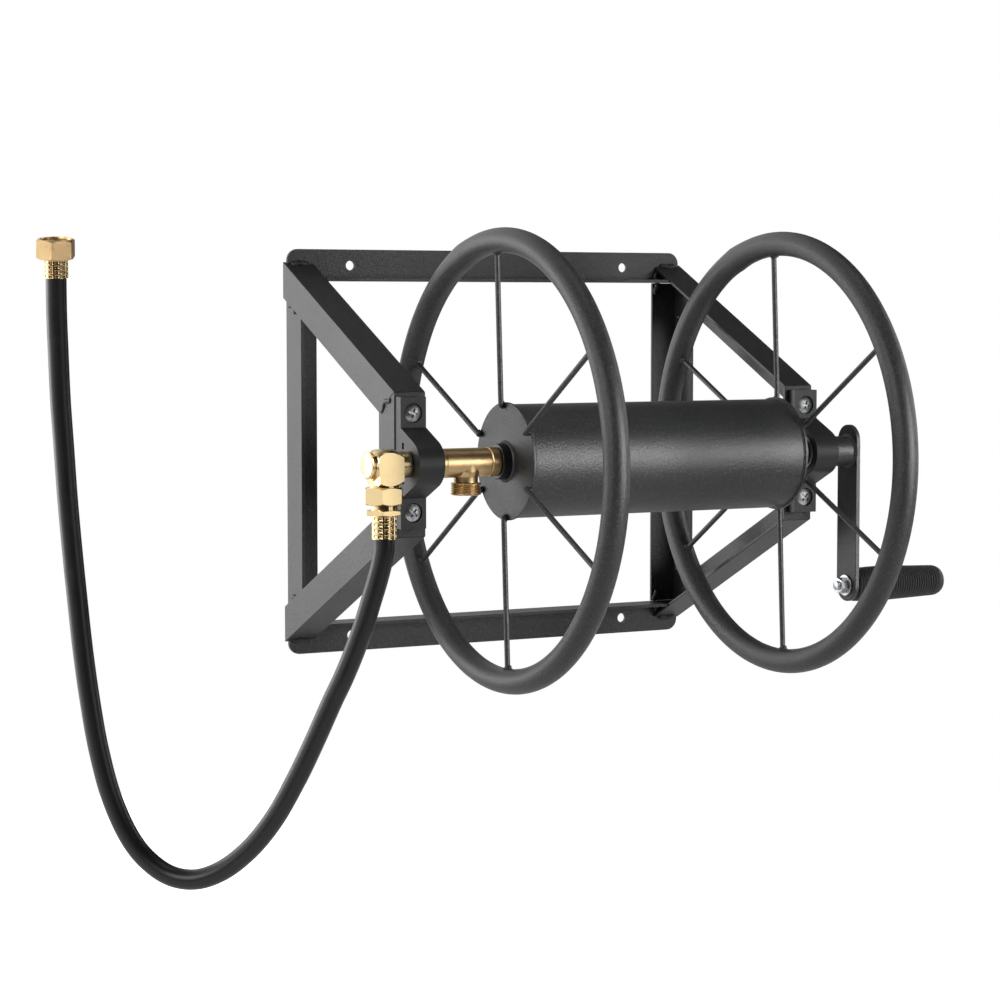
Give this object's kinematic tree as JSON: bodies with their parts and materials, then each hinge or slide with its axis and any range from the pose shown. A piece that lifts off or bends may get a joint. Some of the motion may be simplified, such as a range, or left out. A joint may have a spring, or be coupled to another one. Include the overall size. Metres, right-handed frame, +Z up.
{
  "type": "wall-mounted garden hose reel",
  "caption": "Wall-mounted garden hose reel: angle-iron frame, side brackets, spoked reel and drum, hand crank with rubber grip, brass water swivel and a leader hose.",
  "frame": {"origin": "on the wall plane, midway between the two upper wall bolts", "axes": "+X to the crank side, -Y away from the wall, +Z up"},
  "size_m": [0.8372, 0.4591, 0.5764],
  "materials": {
    "powder_coat": "satin black powder coat with a fine grain",
    "polished_brass": "polished",
    "satin_brass": "satin",
    "zinc_plate": "bright zinc plate",
    "black_plastic": "satin",
    "black_rubber": "smooth, soft sheen",
    "grip_rubber": "fine ribs, matte"
  },
  "bodies": {
    "frame": {"top_rail": "powder_coat", "bottom_rail": "powder_coat", "left_post": "powder_coat", "left_upper_arm": "powder_coat", "left_front_strap": "powder_coat", "left_lower_arm": "powder_coat", "left_bearing": "black_plastic", "left_upper_screw": "zinc_plate", "left_upper_nut": "zinc_plate", "left_lower_screw": "zinc_plate", "left_lower_nut": "zinc_plate", "right_post": "powder_coat", "right_upper_arm": "powder_coat", "right_front_strap": "powder_coat", "right_lower_arm": "powder_coat", "right_bearing": "black_plastic", "right_upper_screw": "zinc_plate", "right_upper_nut": "zinc_plate", "right_lower_screw": "zinc_plate", "right_lower_nut": "zinc_plate", "swivel_elbow": "polished_brass", "elbow_end_cap": "polished_brass", "inlet_hose_tail": "polished_brass", "inlet_ferrule": "polished_brass", "inlet_washer": "black_rubber", "leader_hose": "black_rubber", "tap_hose_tail": "polished_brass", "tap_ferrule": "polished_brass", "tap_washer": "black_rubber"},
    "reel": {"left_ring": "powder_coat", "left_spoke_1": "powder_coat", "left_spoke_2": "powder_coat", "left_spoke_3": "powder_coat", "left_spoke_4": "powder_coat", "left_spoke_5": "powder_coat", "left_spoke_6": "powder_coat", "left_drum_disc": "powder_coat", "right_ring": "powder_coat", "right_spoke_1": "powder_coat", "right_spoke_2": "powder_coat", "right_spoke_3": "powder_coat", "right_spoke_4": "powder_coat", "right_spoke_5": "powder_coat", "right_spoke_6": "powder_coat", "right_drum_disc": "powder_coat", "drum_tube": "powder_coat", "water_tee": "satin_brass", "swivel_o_ring_1": "black_rubber", "swivel_o_ring_2": "black_rubber", "swivel_snap_ring": "zinc_plate", "tee_collar": "black_rubber", "crank_axle": "powder_coat", "thrust_washer": "zinc_plate", "crank_arm": "powder_coat", "crank_bolt": "zinc_plate", "crank_bolt_washer": "zinc_plate", "crank_bolt_nut": "zinc_plate"},
    "grip": {"crank_grip": "grip_rubber"},
    "inlet_coupling_nut": {"inlet_nut": "polished_brass"},
    "tap_coupling_nut": {"tap_nut": "satin_brass"}
  },
  "joints": [
    {"name": "reel_spin", "type": "hinge", "parent": "frame", "child": "reel", "pos_m": [0, -0.2563, -0.173], "axis": [1, 0, 0], "continuous": true},
    {"name": "grip_spin", "type": "hinge", "parent": "reel", "child": "grip", "pos_m": [0.2983, -0.2563, -0.299], "axis": [1, 0, 0], "continuous": true},
    {"name": "inlet_nut_spin", "type": "hinge", "parent": "frame", "child": "inlet_coupling_nut", "pos_m": [-0.2408, -0.2563, -0.2], "axis": [0, 0, 1], "continuous": true},
    {"name": "tap_nut_spin", "type": "hinge", "parent": "frame", "child": "tap_coupling_nut", "pos_m": [-0.46931, -0.08332, 0.00258], "axis": [-0.0607, -0.1518, 0.9865], "continuous": true}
  ]
}
